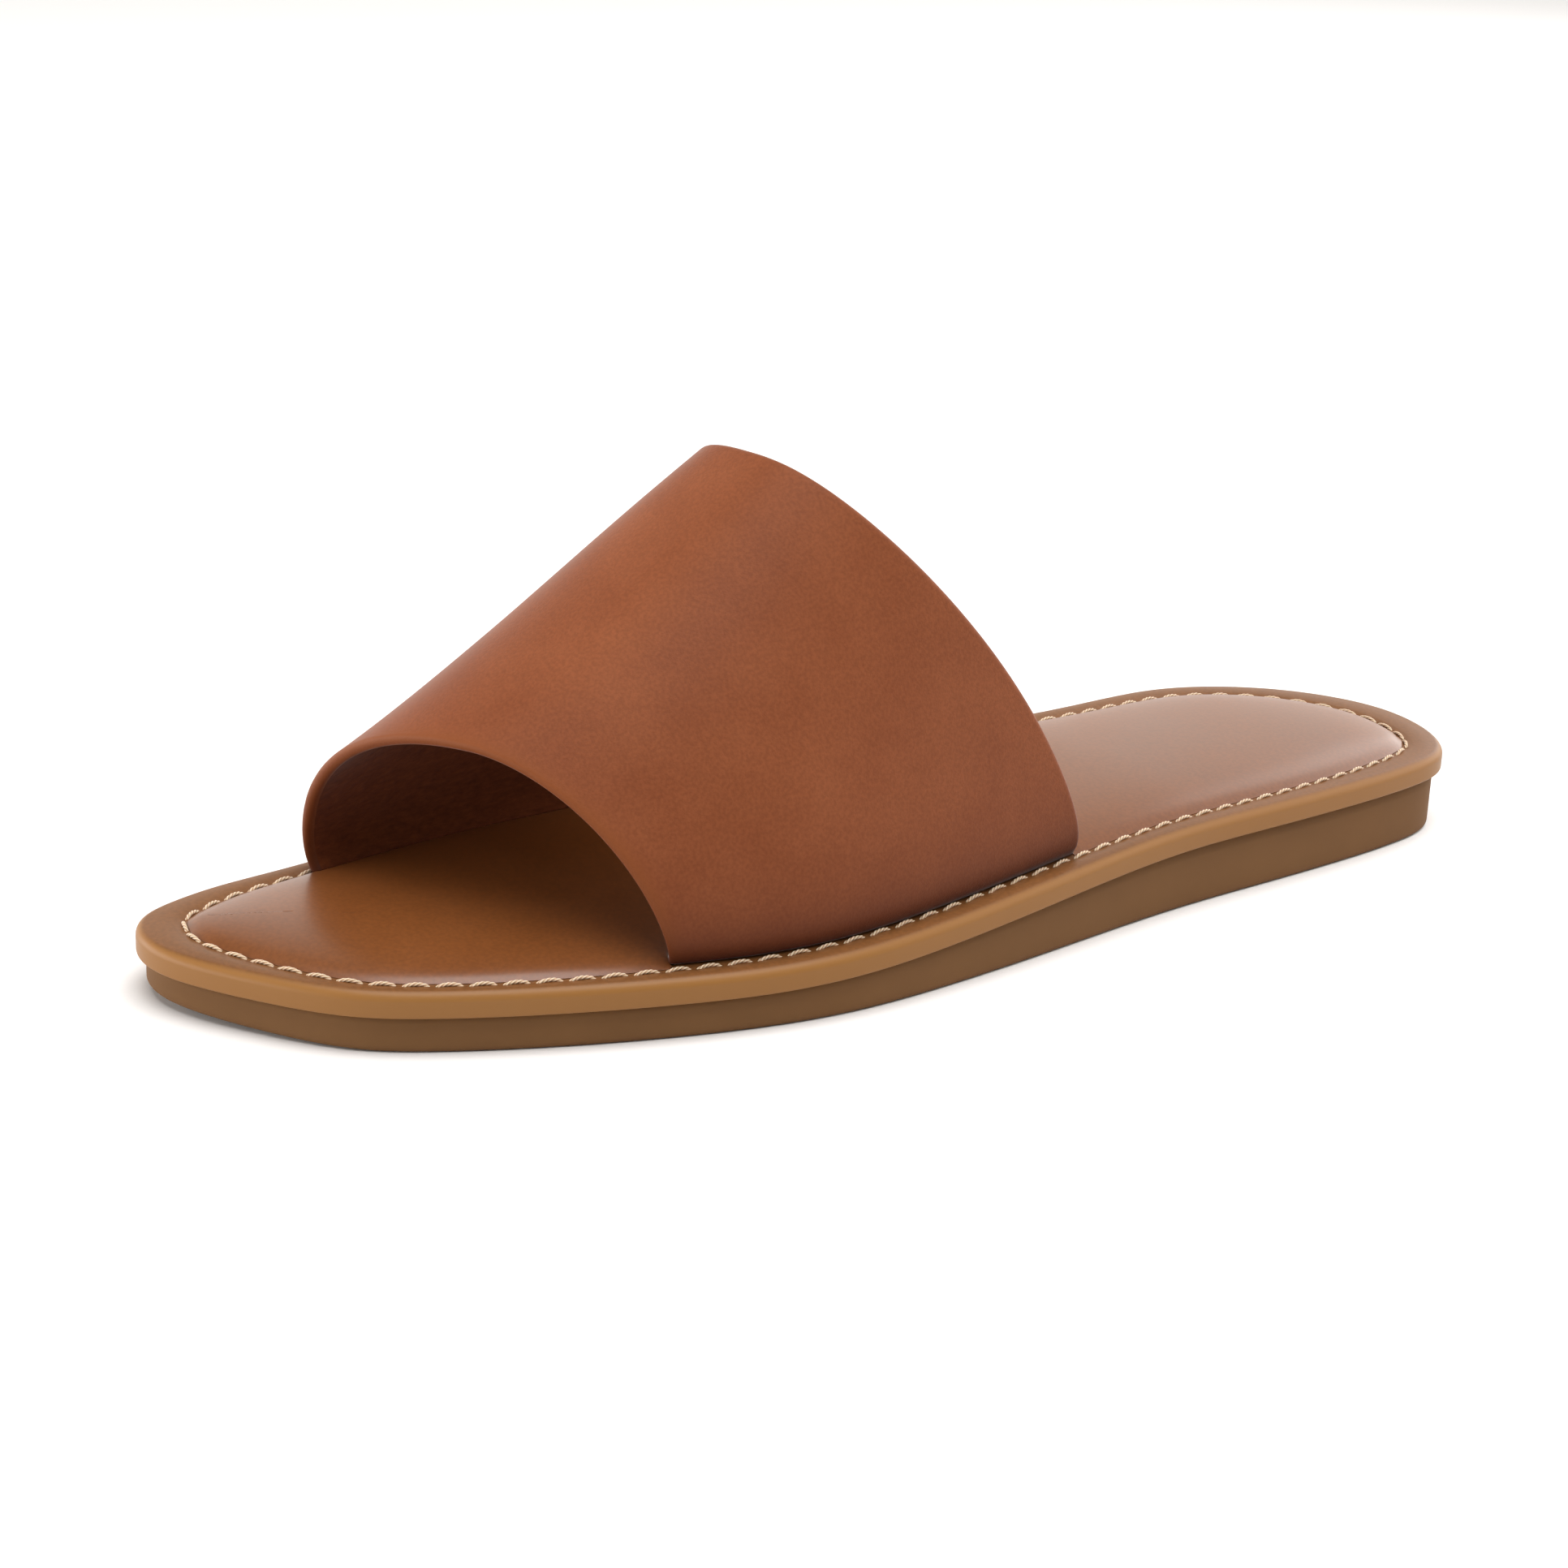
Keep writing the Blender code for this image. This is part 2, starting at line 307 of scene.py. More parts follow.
def count_open_edges(mesh):
    """Edges that only one face uses."""
    uses = np.zeros(len(mesh.edges), int)
    loops = np.zeros(len(mesh.loops), int)
    mesh.loops.foreach_get("edge_index", loops)
    np.add.at(uses, loops, 1)
    return int((uses == 1).sum())


def signed_volume(mesh):
    """Volume inside the faces: above zero where they point outwards."""
    mesh.calc_loop_triangles()
    corners = np.zeros(len(mesh.loop_triangles) * 3, int)
    mesh.loop_triangles.foreach_get("vertices", corners)
    place = np.zeros(len(mesh.vertices) * 3)
    mesh.vertices.foreach_get("co", place)
    a, b, c = np.moveaxis(place.reshape(-1, 3)[corners.reshape(-1, 3)], 1, 0)
    return float((a * np.cross(b, c)).sum() / 6.0)


# %% [markdown]
# ## Small tools for materials
#
# Colours are written as they look on a screen, in sRGB hex, and one function
# turns them to the linear light that the renderer works in. The scale of every
# pattern comes from a real size in millimetres. One function adds a node with
# its settings and its links.

# %% Helpers for materials
def colour(code):
    """Linear red, green, blue and alpha from an sRGB hex code."""
    channels = [int(code[k:k + 2], 16) / 255.0 for k in (1, 3, 5)]
    linear = [c / 12.92 if c <= 0.04045 else ((c + 0.055) / 1.055) ** 2.4
              for c in channels]
    return (*linear, 1.0)


def scale_for(size_mm):
    """Texture scale that makes one feature this many millimetres wide."""
    return 1000.0 / size_mm


def add_node(tree, kind, inputs=None, **settings):
    """Node of a kind, with its settings, and each input set or linked."""
    made = tree.nodes.new(kind)
    for key, value in settings.items():
        setattr(made, key, value)
    for key, value in (inputs or {}).items():
        if isinstance(value, bpy.types.NodeSocket):
            tree.links.new(value, made.inputs[key])
        else:
            made.inputs[key].default_value = value
    return made


def start_material(name, **sockets):
    """Principled material with plain values set on its own sockets."""
    material = bpy.data.materials.new(name)
    material.use_nodes = True
    tree = material.node_tree
    shader = tree.nodes["Principled BSDF"]
    for key, value in sockets.items():
        shader.inputs[key.replace("_", " ")].default_value = value
    return material, tree, shader


# The mix node keeps a set of sockets for each kind of data. These are the
# numbers of its factor, its two colours and its colour result.
MIX_FACTOR, MIX_A, MIX_B, MIX_RESULT = 0, 6, 7, 2


# %% [markdown]
# ## Leather finishes
#
# The band is drum-dyed cowhide with a light wax: its colour drifts softly over
# centimetres, and under that lies a grain of pores. The insole is a smoother
# sheepskin with more polish. The rim is a soft leather on top and a plain tan
# wrap on its side. All three come from one recipe: two tones mixed by a broad
# noise, a fine noise for the pores, cells for the grain, and a roughness that
# follows the broad noise. Real pores lie closer, so the grain is drawn coarser,
# at half a millimetre, to show in the render.

# %% Leather recipe
def leather(name, deep, light, broad_mm, grain_mm, grain_depth, rough, coat,
            shine, tints=(), sheen=0.0):
    """Dyed leather: colour drifts between two tones, and fine cells raise it.

    grain_depth is in metres. rough holds the lowest and highest roughness.
    tints holds an attribute's name, a colour that it brings in, and how much.
    sheen is the soft light that fine fibres catch at a grazing angle.
    """
    material, tree, shader = start_material(
        name, IOR=1.46, Coat_Weight=coat, Coat_Roughness=0.24, Coat_IOR=1.45,
        Specular_IOR_Level=shine, Sheen_Weight=sheen, Sheen_Roughness=0.35)
    place = add_node(tree, "ShaderNodeTexCoord").outputs["Object"]
    broad = add_node(tree, "ShaderNodeTexNoise", {
        "Vector": place, "Scale": scale_for(broad_mm), "Detail": 4.0,
        "Roughness": 0.55})
    fine = add_node(tree, "ShaderNodeTexNoise", {
        "Vector": place, "Scale": scale_for(1.2 * grain_mm), "Detail": 3.0})
    cells = add_node(tree, "ShaderNodeTexVoronoi", {
        "Vector": place, "Scale": scale_for(grain_mm), "Randomness": 1.0},
        feature="DISTANCE_TO_EDGE")
    drift = add_node(tree, "ShaderNodeMapRange", {
        "Value": broad.outputs["Fac"], "From Min": 0.3, "From Max": 0.7})
    tone = add_node(tree, "ShaderNodeMix", {
        MIX_FACTOR: drift.outputs["Result"], MIX_A: colour(deep),
        MIX_B: colour(light)}, data_type="RGBA")
    speck = add_node(tree, "ShaderNodeMapRange", {
        "Value": fine.outputs["Fac"], "From Min": 0.35, "From Max": 0.65,
        "To Min": 0.90, "To Max": 1.09})
    shade = add_node(tree, "ShaderNodeVectorMath", {
        0: tone.outputs[MIX_RESULT]}, operation="SCALE")
    tree.links.new(speck.outputs["Result"], shade.inputs["Scale"])
    base = shade.outputs["Vector"]
    for attribute, code, most in tints:
        mask = add_node(tree, "ShaderNodeAttribute", attribute_name=attribute)
        part = add_node(tree, "ShaderNodeMapRange", {
            "Value": mask.outputs["Fac"], "To Max": most})
        tinted = add_node(tree, "ShaderNodeMix", {
            MIX_FACTOR: part.outputs["Result"], MIX_A: base, MIX_B: colour(code)},
            data_type="RGBA")
        base = tinted.outputs[MIX_RESULT]
    tree.links.new(base, shader.inputs["Base Color"])
    gloss = add_node(tree, "ShaderNodeMapRange", {
        "Value": broad.outputs["Fac"], "From Min": 0.3, "From Max": 0.7,
        "To Min": rough[0], "To Max": rough[1]})
    tree.links.new(gloss.outputs["Result"], shader.inputs["Roughness"])
    low_bump = add_node(tree, "ShaderNodeBump", {
        "Height": fine.outputs["Fac"], "Strength": 0.4, "Distance": grain_depth})
    bump = add_node(tree, "ShaderNodeBump", {
        "Height": cells.outputs["Distance"], "Strength": 0.5,
        "Distance": grain_depth, "Normal": low_bump.outputs["Normal"]})
    tree.links.new(bump.outputs["Normal"], shader.inputs["Normal"])
    return material


# Waxed cowhide of the band, brown with a red cast, more even where its toe edge
# is turned over, and with painted shade that darkens it towards its foot on the sole.
band_leather = leather("waxed_cowhide", "#763F24", "#81482B", 18.0, 0.45, 0.00007,
                       (0.50, 0.58), 0.0, 0.13, (("turned_edge", "#7C4424", 1.0),
                                                 ("painted_base_shade", "#441A08", 0.9)),
                       0.15)
# Smooth sheepskin of the insole, a yellower brown with a soft polish.
insole_leather = leather("polished_sheepskin", "#6C3C18", "#76431D", 24.0, 0.60,
                         0.00001, (0.34, 0.40), 0.28, 0.5)
# The rim: sheepskin on top, and a tan cowhide wrap on the side that shows as
# soon as the surface turns down.
rim_leather = leather("rim_cowhide", "#6E4522", "#774C27", 20.0, 0.60, 0.00001,
                      (0.46, 0.52), 0.08, 0.30, (("side_wrap", "#8D602F", 1.0),))
print("leathers:", band_leather.name, insole_leather.name, rim_leather.name)


# %% [markdown]
# ## Outsole
#
# A moulded rubber sole is a plain slab whose side rises straight from a rounded
# lower edge and steps in by a hair under the rim. A profile of insets and heights is
# carried around the outline, and the flat faces run in to a line along the
# middle of the sole, where the two sides of the grid meet.

# %% Outsole surface
OUTSOLE_CORNER = 0.0011
OUTSOLE_SEAM_STEP = 0.0003
OUTSOLE_SEAM_HEIGHT = 0.0002
OUTSOLE_CORNER_ROWS = 8
OUTSOLE_SIDE_ROWS = 4
FLAT_INSET = 0.005
SOLE_COLUMNS = 480
SPINE_SHARE = 0.75
CAP_INSET = 0.008
CAP_ROWS = 14


def spine_point(turn):
    """Middle line of the sole, shorter than the sole, met by both sides."""
    y = -0.5 * LENGTH * SPINE_SHARE * np.cos(turn)
    level = np.arccos(np.clip(-2.0 * y / LENGTH, -1.0, 1.0))
    outer = outline_point(level)[..., 0]
    inner = outline_point(2.0 * np.pi - level)[..., 0]
    return np.stack([0.5 * (outer + inner), y], axis=-1)


def cap_plan(turn, inset, rows):
    """Plan points from a ring at an inset to the spine, a row for each share."""
    ring = inset_outline(turn, inset)
    share = np.linspace(0.0, 1.0, rows + 1)[1:, None, None]
    return ring + (spine_point(turn) - ring) * share


def quarter_arc(radius, count):
    """Inset and drop along a rounded corner, from the side to the flat."""
    angle = np.linspace(0.0, 0.5 * np.pi, count)
    return radius * (1.0 - np.cos(angle)), radius * (1.0 - np.sin(angle))


def column(values):
    """A row for each value, to spread over the turns of a ring."""
    return np.asarray(values)[:, None]


def ring_rows(turn, insets, levels, height):
    """Points of rings at these insets, each at a level over a height function."""
    insets = insets + 0.0 * levels + 0.0 * turn
    plan = inset_outline(turn + 0.0 * insets, insets)
    z = height(plan[..., 1]) + levels
    return np.concatenate([plan, z[..., None]], axis=-1)


def cap_rows(turn, inset, height, rows=CAP_ROWS):
    """Points of a cap from a ring to the spine, on a height function."""
    plan = cap_plan(turn, inset + 0.0 * turn, rows)
    return np.concatenate([plan, height(plan[..., 1])[..., None]], axis=-1)


def make_outsole():
    """Outsole: spine, underside, rounded corner, side, seam step, top, spine."""
    turn = 2.0 * np.pi * np.arange(SOLE_COLUMNS) / SOLE_COLUMNS
    corner_inset, corner_drop = quarter_arc(OUTSOLE_CORNER, OUTSOLE_CORNER_ROWS)
    under = cap_rows(turn, CAP_INSET, floor_side)[::-1]
    flat = ring_rows(turn, column([CAP_INSET, FLAT_INSET]), 0.0, floor_side)
    corner = ring_rows(turn, column(OUTSOLE_INSET + corner_inset[::-1]),
                       column(corner_drop[::-1]), floor_side)
    seam = ring_rows(
        turn, column([OUTSOLE_INSET, OUTSOLE_INSET + OUTSOLE_SEAM_STEP, CAP_INSET]),
        column([-OUTSOLE_SEAM_HEIGHT, 0.0, 0.0]), outsole_top)
    lowest, highest = corner[-1:], seam[:1]
    share = np.linspace(0.0, 1.0, OUTSOLE_SIDE_ROWS + 2)[1:-1, None, None]
    side = lowest + (highest - lowest) * share
    top = cap_rows(turn, CAP_INSET, outsole_top)
    points = np.concatenate([under, flat, corner, side, seam, top])
    faces = grid_faces(*points.shape[:2])
    return mesh_object("rubber_sole", points, faces)


rubber_sole = make_outsole()


# %% [markdown]
# The rubber is a blown, matt brown compound, moulded in a lightly sand-blasted
# tool, whose grain is drawn coarser than a real one. It has hardly any gloss, and
# its colour is even but for a faint cloudiness. The underside is a guess: soft
# waves, as a bump that fades out where the surface turns up to the side. The
# wave texture turns by 20 radians a unit, so a wave is 2 pi x 3 mm long, or 19 mm.

# %% Outsole rubber
def make_rubber():
    """Moulded rubber: cloudy brown, sand-blasted skin, soft waves underneath."""
    material, tree, shader = start_material(
        "blown_rubber", IOR=1.50, Specular_IOR_Level=0.15)
    place = add_node(tree, "ShaderNodeTexCoord").outputs["Object"]
    cloud = add_node(tree, "ShaderNodeTexNoise", {
        "Vector": place, "Scale": scale_for(14.0), "Detail": 3.0})
    tone = add_node(tree, "ShaderNodeMix", {
        MIX_FACTOR: cloud.outputs["Fac"], MIX_A: colour("#6A4A2C"),
        MIX_B: colour("#765434")}, data_type="RGBA")
    tree.links.new(tone.outputs[MIX_RESULT], shader.inputs["Base Color"])
    blast = add_node(tree, "ShaderNodeTexNoise", {
        "Vector": place, "Scale": scale_for(0.45), "Detail": 2.0})
    rough = add_node(tree, "ShaderNodeMapRange", {
        "Value": cloud.outputs["Fac"], "To Min": 0.68, "To Max": 0.78})
    tree.links.new(rough.outputs["Result"], shader.inputs["Roughness"])
    skin = add_node(tree, "ShaderNodeBump", {
        "Height": blast.outputs["Fac"], "Strength": 0.5, "Distance": 0.00004})
    waves = add_node(tree, "ShaderNodeTexWave", {
        "Vector": place, "Scale": scale_for(3.0) / 20.0, "Distortion": 3.0,
        "Detail": 0.0, "Detail Scale": 1.0}, wave_type="BANDS",
        bands_direction="Y")
    facing = add_node(tree, "ShaderNodeNewGeometry").outputs["True Normal"]
    split = add_node(tree, "ShaderNodeSeparateXYZ", {"Vector": facing})
    under = add_node(tree, "ShaderNodeMapRange", {
        "Value": split.outputs["Z"], "From Min": -0.98, "From Max": -0.90,
        "To Min": 1.0, "To Max": 0.0})
    tread = add_node(tree, "ShaderNodeBump", {
        "Height": waves.outputs["Fac"], "Strength": under.outputs["Result"],
        "Distance": 0.0006, "Normal": skin.outputs["Normal"]})
    tree.links.new(tread.outputs["Normal"], shader.inputs["Normal"])
    return material


rubber_sole.data.materials.append(make_rubber())
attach(rubber_sole, "root")
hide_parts("outsole")


# %% [markdown]
# ## Rim and board
#
# The footbed is a board with leather wrapped around its edge. What shows is the
# rim: a crisp side that rolls over at the top, a hardly sloping ledge, a shallow
# trough for the stitches, and a small pit at each needle hole. The rim is a
# closed tube of one profile carried around the outline. Its columns are set by
# the stitches, with more of them near each hole.

# %% Rim surface
STITCH_PITCH = 0.0051
RIM_LOWER_ROUND = 0.0005
RIM_UPPER_ROUND = 0.0015
RIM_UNDER_PAD = 0.0034
WRAP_INSET = 0.0009
WRAP_BLEND = 0.0010
RIM_FALL = 0.0004
TROUGH_DEPTH = 0.00045
TROUGH_WIDTH = 0.0016
PIT_DEPTH = 0.00015
PIT_WIDTH = 0.00045
RIM_LOWER_ROWS = 8
RIM_UPPER_ROWS = 14
LEDGE_SHARES = (0.12, 0.24, 0.36)
BESIDE_REACH = 0.0016
BESIDE_SHARE = 0.38
FULL_BESIDE = 0.0010
LINE_STEPS = 4000

# Stitch line. turn: radians around the outline. inset: metres from the edge of
# the rim. It is wide at the toe and heel and passes outside the band's feet.
STITCH_LINE = (
    ("turn", "inset"),
    (0.0, 0.0074),
    (0.35, 0.0052),
    (0.8, 0.0033),
    (1.1, 0.0042),
    (1.5, 0.0049),
    (2.1, 0.0045),
    (2.6, 0.0060),
    (3.2, 0.0084),
    (3.8, 0.0064),
    (4.4, 0.0047),
    (4.8, 0.0042),
    (5.35, 0.0042),
    (5.7, 0.0059),
)


def bell(value, width):
    """Bell curve of height 1 with this half width."""
    return np.exp(-(value / width) ** 2)


def stitch_inset(turn):
    """Inset of the stitch line: a closed curve through its table."""
    knots, insets = np.array(STITCH_LINE[1:]).T
    return closed_spline(knots, insets, turn)


stitch_length = even_turns(stitch_inset, 2)[1]
STITCHES = round(stitch_length / STITCH_PITCH)
pitch = stitch_length / STITCHES
# Shares of one stitch at which the rim has a column, closer near the hole.
COLUMN_SHARES = np.array([0.0, 0.05, 0.10, 0.17, 0.28, 0.42, 0.58, 0.72, 0.83,
                          0.90, 0.95])
print(STITCHES, "stitches,", round(1000 * pitch, 2), "mm apart")


def stitch_turn(distance):
    """Turn at a distance along the stitch line, wrapped around the sole."""
    turns, whole = even_turns(stitch_inset, LINE_STEPS)
    at = np.mod(distance, whole) * len(turns) / whole
    return np.interp(at, np.arange(len(turns) + 1), np.append(turns, 2.0 * np.pi))


def trough(across):
    """Fall of the rim's top this far across from the stitch line."""
    return TROUGH_DEPTH * bell(across, TROUGH_WIDTH)


def make_rim():
    """Rim: a profile of the wrapped edge, carried around, then dented.

    The top falls by a bell across the stitch line and by a round bell at each
    hole. Its rows lie at fixed insets on the rounds, then at shares of the ledge,
    and then on both sides of the stitch line, closer where the ledge is narrow.
    """
    share = (np.arange(STITCHES)[:, None] + COLUMN_SHARES).ravel()
    turn = stitch_turn(share * pitch)
    line = stitch_inset(turn)
    low_inset, low_rise = quarter_arc(RIM_LOWER_ROUND, RIM_LOWER_ROWS)
    high_inset, high_drop = quarter_arc(RIM_UPPER_ROUND, RIM_UPPER_ROWS)
    reach = np.concatenate([[-1.0, -0.8], np.arange(-0.6, 0.65, 0.1), [0.8, 1.0]])
    inner = line + RIM_UNDER_PAD
    space = line - RIM_UPPER_ROUND
    near = RIM_UPPER_ROUND + column(LEDGE_SHARES) * space
    beside = line + BESIDE_REACH * column(reach) * np.minimum(
        1.0, BESIDE_SHARE * space / FULL_BESIDE)
    inset = np.concatenate([
        inner[None], 0.5 * (inner[None] + RIM_LOWER_ROUND), column(low_inset[::-1])
        + 0.0 * turn, column(high_inset) + 0.0 * turn, near, beside, inner[None]])
    rise = np.concatenate([[0.0, 0.0], low_rise[::-1], FOOTBED_THICKNESS - high_drop])
    level = np.concatenate([rise, np.full(len(inset) - len(rise), FOOTBED_THICKNESS)])
    points = ring_rows(turn, inset, column(level), footbed_under)
    hole = np.abs(share - np.round(share)) * pitch
    across = inset - line
    dent = trough(across) + PIT_DEPTH * bell(np.hypot(across, hole), PIT_WIDTH)
    dent += RIM_FALL * np.clip(1.0 - inset / line, 0.0, 1.0) ** 2
    dent[:2 + len(low_inset)] = 0.0
    points[..., 2] -= dent
    wrap = 1.0 - smooth_step((inset - WRAP_INSET) / WRAP_BLEND + 0.5)
    wrap[:2 + len(low_inset)] = 1.0
    rows, columns = points.shape[:2]
    last = np.arange(columns)
    after = np.roll(last, -1)
    top = (rows - 1) * columns
    wall = np.stack([top + last, top + after, after, last], axis=-1)
    faces = np.concatenate([grid_faces(rows, columns), wall])
    return mesh_object("wrapped_rim", points, faces, {"side_wrap": wrap}, close=False)


wrapped_rim = make_rim()
wrapped_rim.data.materials.append(rim_leather)
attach(wrapped_rim, "root")
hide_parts("footbed")


# %% [markdown]
# Inside the rim lies the board, a plain slab of pressed fibre. The pad hides it
# from above and the rubber from below, so it needs few faces.

# %% Board
BOARD_COLUMNS = 240
BOARD_ROWS = 3


def make_board():
    """Board: a slab that just clears the rim, capped above and below."""
    turn = 2.0 * np.pi * np.arange(BOARD_COLUMNS) / BOARD_COLUMNS
    inset = stitch_inset(turn) + RIM_UNDER_PAD + CLEARANCE
    under = cap_rows(turn, inset, footbed_under, BOARD_ROWS)[::-1]
    edge = ring_rows(turn, inset[None], column([0.0, FOOTBED_THICKNESS]),
                     footbed_under)
    top = cap_rows(turn, inset, footbed_top, BOARD_ROWS)
    points = np.concatenate([under, edge, top])
    return mesh_object("fibre_board", points, grid_faces(*points.shape[:2]))


def make_fibre():
    """Pressed cellulose board: pale brown, matt, with short fibres."""
    material, tree, shader = start_material("pressed_fibre", Roughness=0.9)
    place = add_node(tree, "ShaderNodeTexCoord").outputs["Object"]
    fibres = add_node(tree, "ShaderNodeTexNoise", {
        "Vector": place, "Scale": scale_for(1.2), "Detail": 4.0})
    tone = add_node(tree, "ShaderNodeMix", {
        MIX_FACTOR: fibres.outputs["Fac"], MIX_A: colour("#7A6248"),
        MIX_B: colour("#94795A")}, data_type="RGBA")
    tree.links.new(tone.outputs[MIX_RESULT], shader.inputs["Base Color"])
    return material


fibre_board = make_board()
fibre_board.data.materials.append(make_fibre())
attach(fibre_board, "root")
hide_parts("footbed")


# %% [markdown]
# ## Thread
#
# The rim is sewn with a thick twisted linen thread. Each stitch comes up out of
# its hole, lies over the leather in a low arch, and goes down into the next
# hole. A stitch is a tube around that arch. Its radius rises and falls around the
# tube in three lobes, one for each ply, and the lobes turn as the tube runs on.

# %% Thread surface
THREAD_RADIUS = 0.00033
PLY_DEPTH = 0.34
PLY_TURNS = 1.7
STITCH_GAP = 0.10
STITCH_RISE = 0.00030
STITCH_SINK = 0.00048
STITCH_SLANT = 0.00016
ARCH_FLATNESS = 0.5
THREAD_TIP = 0.4
ALONG_STITCH = 26
AROUND_THREAD = 14


def stitch_path(start, share):
    """Middle line of stitches: slanted a little, and up in a flattened sine.

    Heights count from the bottom of the trough.
    """
    reach = STITCH_GAP + (1.0 - 2.0 * STITCH_GAP) * share
    turn = stitch_turn((start + reach) * pitch)
    plan = inset_outline(turn, stitch_inset(turn) + STITCH_SLANT * (2.0 * share - 1.0))
    arch = np.abs(np.sin(np.pi * share)) ** ARCH_FLATNESS
    z = (footbed_top(plan[..., 1]) - TROUGH_DEPTH - STITCH_SINK
         + (STITCH_SINK + STITCH_RISE) * arch)
    return np.concatenate([plan, z[..., None]], axis=-1)


def make_thread():
    """All stitches as one mesh: twisted tubes, closed at both ends.

    Around each point of the path the tube has two directions: sideways, level
    and square to the path, and the one square to both. One face closes each end
    inside its hole. All these faces are wound inwards.
    """
    start = np.arange(STITCHES)[:, None]
    share = np.linspace(0.0, 1.0, ALONG_STITCH)[None, :]
    path = stitch_path(start, share + 0.0 * start)
    ahead = np.gradient(path, axis=1)
    ahead /= np.linalg.norm(ahead, axis=-1, keepdims=True)
    side = np.cross(ahead, np.array([0.0, 0.0, 1.0]))
    side /= np.linalg.norm(side, axis=-1, keepdims=True)
    rise = np.cross(side, ahead)
    angle = 2.0 * np.pi * np.arange(AROUND_THREAD) / AROUND_THREAD
    lobe = 3.0 * angle - 6.0 * np.pi * PLY_TURNS * share[0][:, None]
    radius = THREAD_RADIUS * (1.0 - PLY_DEPTH * (0.5 + 0.5 * np.cos(lobe)) ** 2)
    radius[[0, -1]] *= THREAD_TIP
    ring = (side[:, :, None] * np.cos(angle)[:, None]
            + rise[:, :, None] * np.sin(angle)[:, None])
    points = path[:, :, None] + ring * radius[None, :, :, None]
    around = np.arange(AROUND_THREAD)
    last = (ALONG_STITCH - 1) * AROUND_THREAD
    sides = grid_faces(ALONG_STITCH, AROUND_THREAD).tolist()
    one = sides + [around[::-1].tolist(), (last + around).tolist()]
    first = ALONG_STITCH * AROUND_THREAD * np.arange(STITCHES)
    faces = [[corner + jump for corner in face] for jump in first.tolist()
             for face in one]
    # Painted shade: 1 in the grooves between the plies, where the tube is thinnest.
    groove_shade = np.broadcast_to(0.5 + 0.5 * np.cos(lobe), points.shape[:3])
    return mesh_object("rim_thread", points, faces, {"ply_groove_shade": groove_shade}, close=False)


def make_linen():
    """Waxed linen thread: cream, matt, with painted shade in the grooves where the plies
    meet.

    Its fibres are drawn coarser than real ones, which a render can't show.
    """
    material, tree, shader = start_material(
        "waxed_linen", Roughness=0.62, Sheen_Weight=0.25, Sheen_Roughness=0.5,
        Subsurface_Weight=0.08, Subsurface_Scale=0.0006)
    ply_groove_shade = add_node(tree, "ShaderNodeAttribute", attribute_name="ply_groove_shade")
    # Painted shade: the darker tone fills the grooves between the plies.
    tone = add_node(tree, "ShaderNodeMix", {
        MIX_FACTOR: ply_groove_shade.outputs["Fac"], MIX_A: colour("#E8D2B4"),
        MIX_B: colour("#A67E58")}, data_type="RGBA")
    tree.links.new(tone.outputs[MIX_RESULT], shader.inputs["Base Color"])
    place = add_node(tree, "ShaderNodeTexCoord").outputs["Object"]
    fibres = add_node(tree, "ShaderNodeTexNoise", {
        "Vector": place, "Scale": scale_for(0.12), "Detail": 2.0})
    fuzz = add_node(tree, "ShaderNodeBump", {
        "Height": fibres.outputs["Fac"], "Strength": 0.4, "Distance": 0.00003})
    tree.links.new(fuzz.outputs["Normal"], shader.inputs["Normal"])
    return material


rim_thread = make_thread()
rim_thread.data.materials.append(make_linen())
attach(rim_thread, "root")


# %% [markdown]
# ## Insole pad
#
# The insole is soft leather over a thin foam. The stitches hold its edge down,
# so it rises gently just inside them and then swells slowly to the middle. A
# cloth simulation would blow up such a thin pad evenly, so its height is worked
# out instead, from each point's distance to the sewn edge: a quick rise of six
# tenths of a millimetre plus a slow one of two millimetres. Where the band
# stands on the footbed, the pad is cut back for its feet. The lead of that cut is
# below zero, so the pad runs a few tenths of a millimetre into the feet's tips.

# %% Insole surface
PAD_FROM_STITCH = 0.0005
PAD_LIFT = 0.00003
PAD_EDGE_RISE = 0.0006
PAD_EDGE_RUN = 0.0030
PAD_RISE = 0.0020
PAD_SOFTNESS = 0.0105
PAD_CUT_ROUND = 0.0004
PAD_STEP_RUN = 0.0004
PAD_STEP_LEAD = -0.0005
PAD_STEP_FADE = 1.5
PAD_BLEND_START = 0.001
PAD_BLEND_RUN = 0.004
PAD_CUT_SHARE = 0.35
PAD_CAP_ROWS = 26
PAD_COLUMNS = 560
FOOT_COLUMNS = 40
FOOT_SPREAD = 0.05
CLOSEST_TURN = 0.0008
UPPER_INSET = 0.0050
BAND_WALL = 0.0020
BAND_TUCK = 0.0004
BAND_SKIVED = 0.0014
OUTER_BASE_START = 0.0665
OUTER_BASE_END = 0.1495
INNER_BASE_START = 0.0340
INNER_BASE_END = 0.1395


def foot_share(turn, run):
    """1 beside the feet of the band, 0 away from them, over slopes of this run."""
    along = 0.5 * LENGTH * (1.0 - np.cos(turn))
    outer = np.mod(turn, 2.0 * np.pi) < np.pi
    start = np.where(outer, OUTER_BASE_START, INNER_BASE_START) - PAD_STEP_LEAD
    end = np.where(outer, OUTER_BASE_END, INNER_BASE_END) + PAD_STEP_LEAD
    before = smooth_step((along - start) / run + 1.0)
    past = smooth_step((end - along) / run + 1.0)
    return before * past


